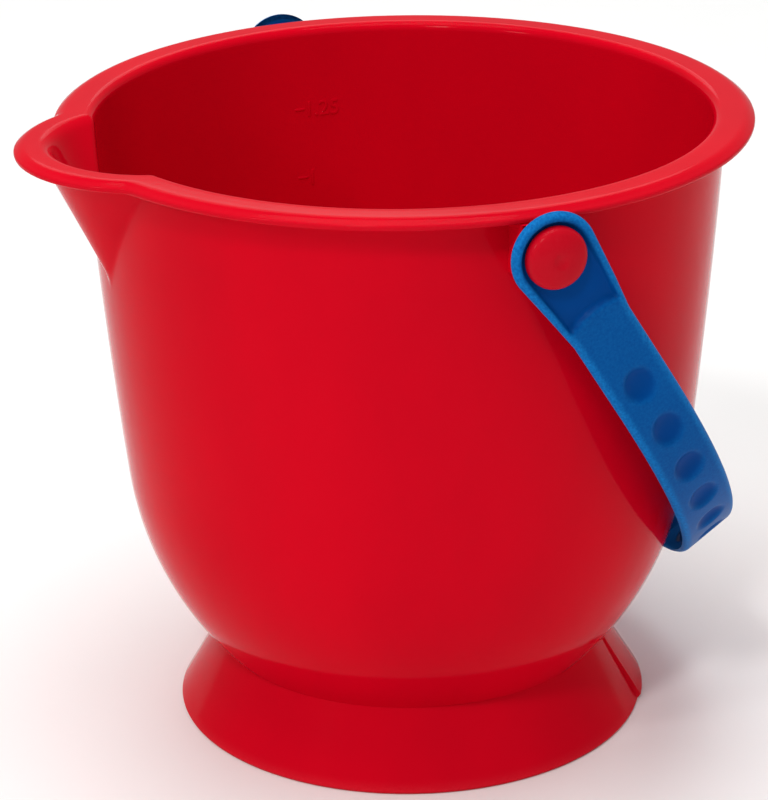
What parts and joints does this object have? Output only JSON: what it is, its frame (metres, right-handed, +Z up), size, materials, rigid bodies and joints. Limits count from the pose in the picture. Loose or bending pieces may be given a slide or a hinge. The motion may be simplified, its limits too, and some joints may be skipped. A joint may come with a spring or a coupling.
{
  "type": "sand bucket",
  "caption": "Round moulded sand bucket with a pouring spout, a flared hollow foot and a hinged carry handle with finger dimples.",
  "frame": {"origin": "centre of the foot's base ring, on the ground", "axes": "+Z up along the bowl's axis; the spout points along -X; the handle's pivot axis is parallel to Y and the handle hangs on the +X side at rest"},
  "size_m": [0.1689, 0.1716, 0.1467],
  "materials": {
    "bucket_plastic": "glossy injection-moulded polypropylene, coloured red in the mass",
    "handle_plastic": "semi-gloss injection-moulded polypropylene, coloured blue in the mass, edges rubbed by use",
    "pin_plastic": "glossy injection-moulded polypropylene, coloured red in the mass"
  },
  "bodies": {
    "bucket": {"bucket_body": "bucket_plastic", "pivot_pin_left": "pin_plastic", "pivot_pin_right": "pin_plastic"},
    "handle": {"carry_handle": "handle_plastic"}
  },
  "joints": [
    {"name": "handle_swing", "type": "hinge", "parent": "bucket", "child": "handle", "pos_m": [0, 0, 0.137], "axis": [0, -1, 0], "range_deg": [0, 294]}
  ]
}
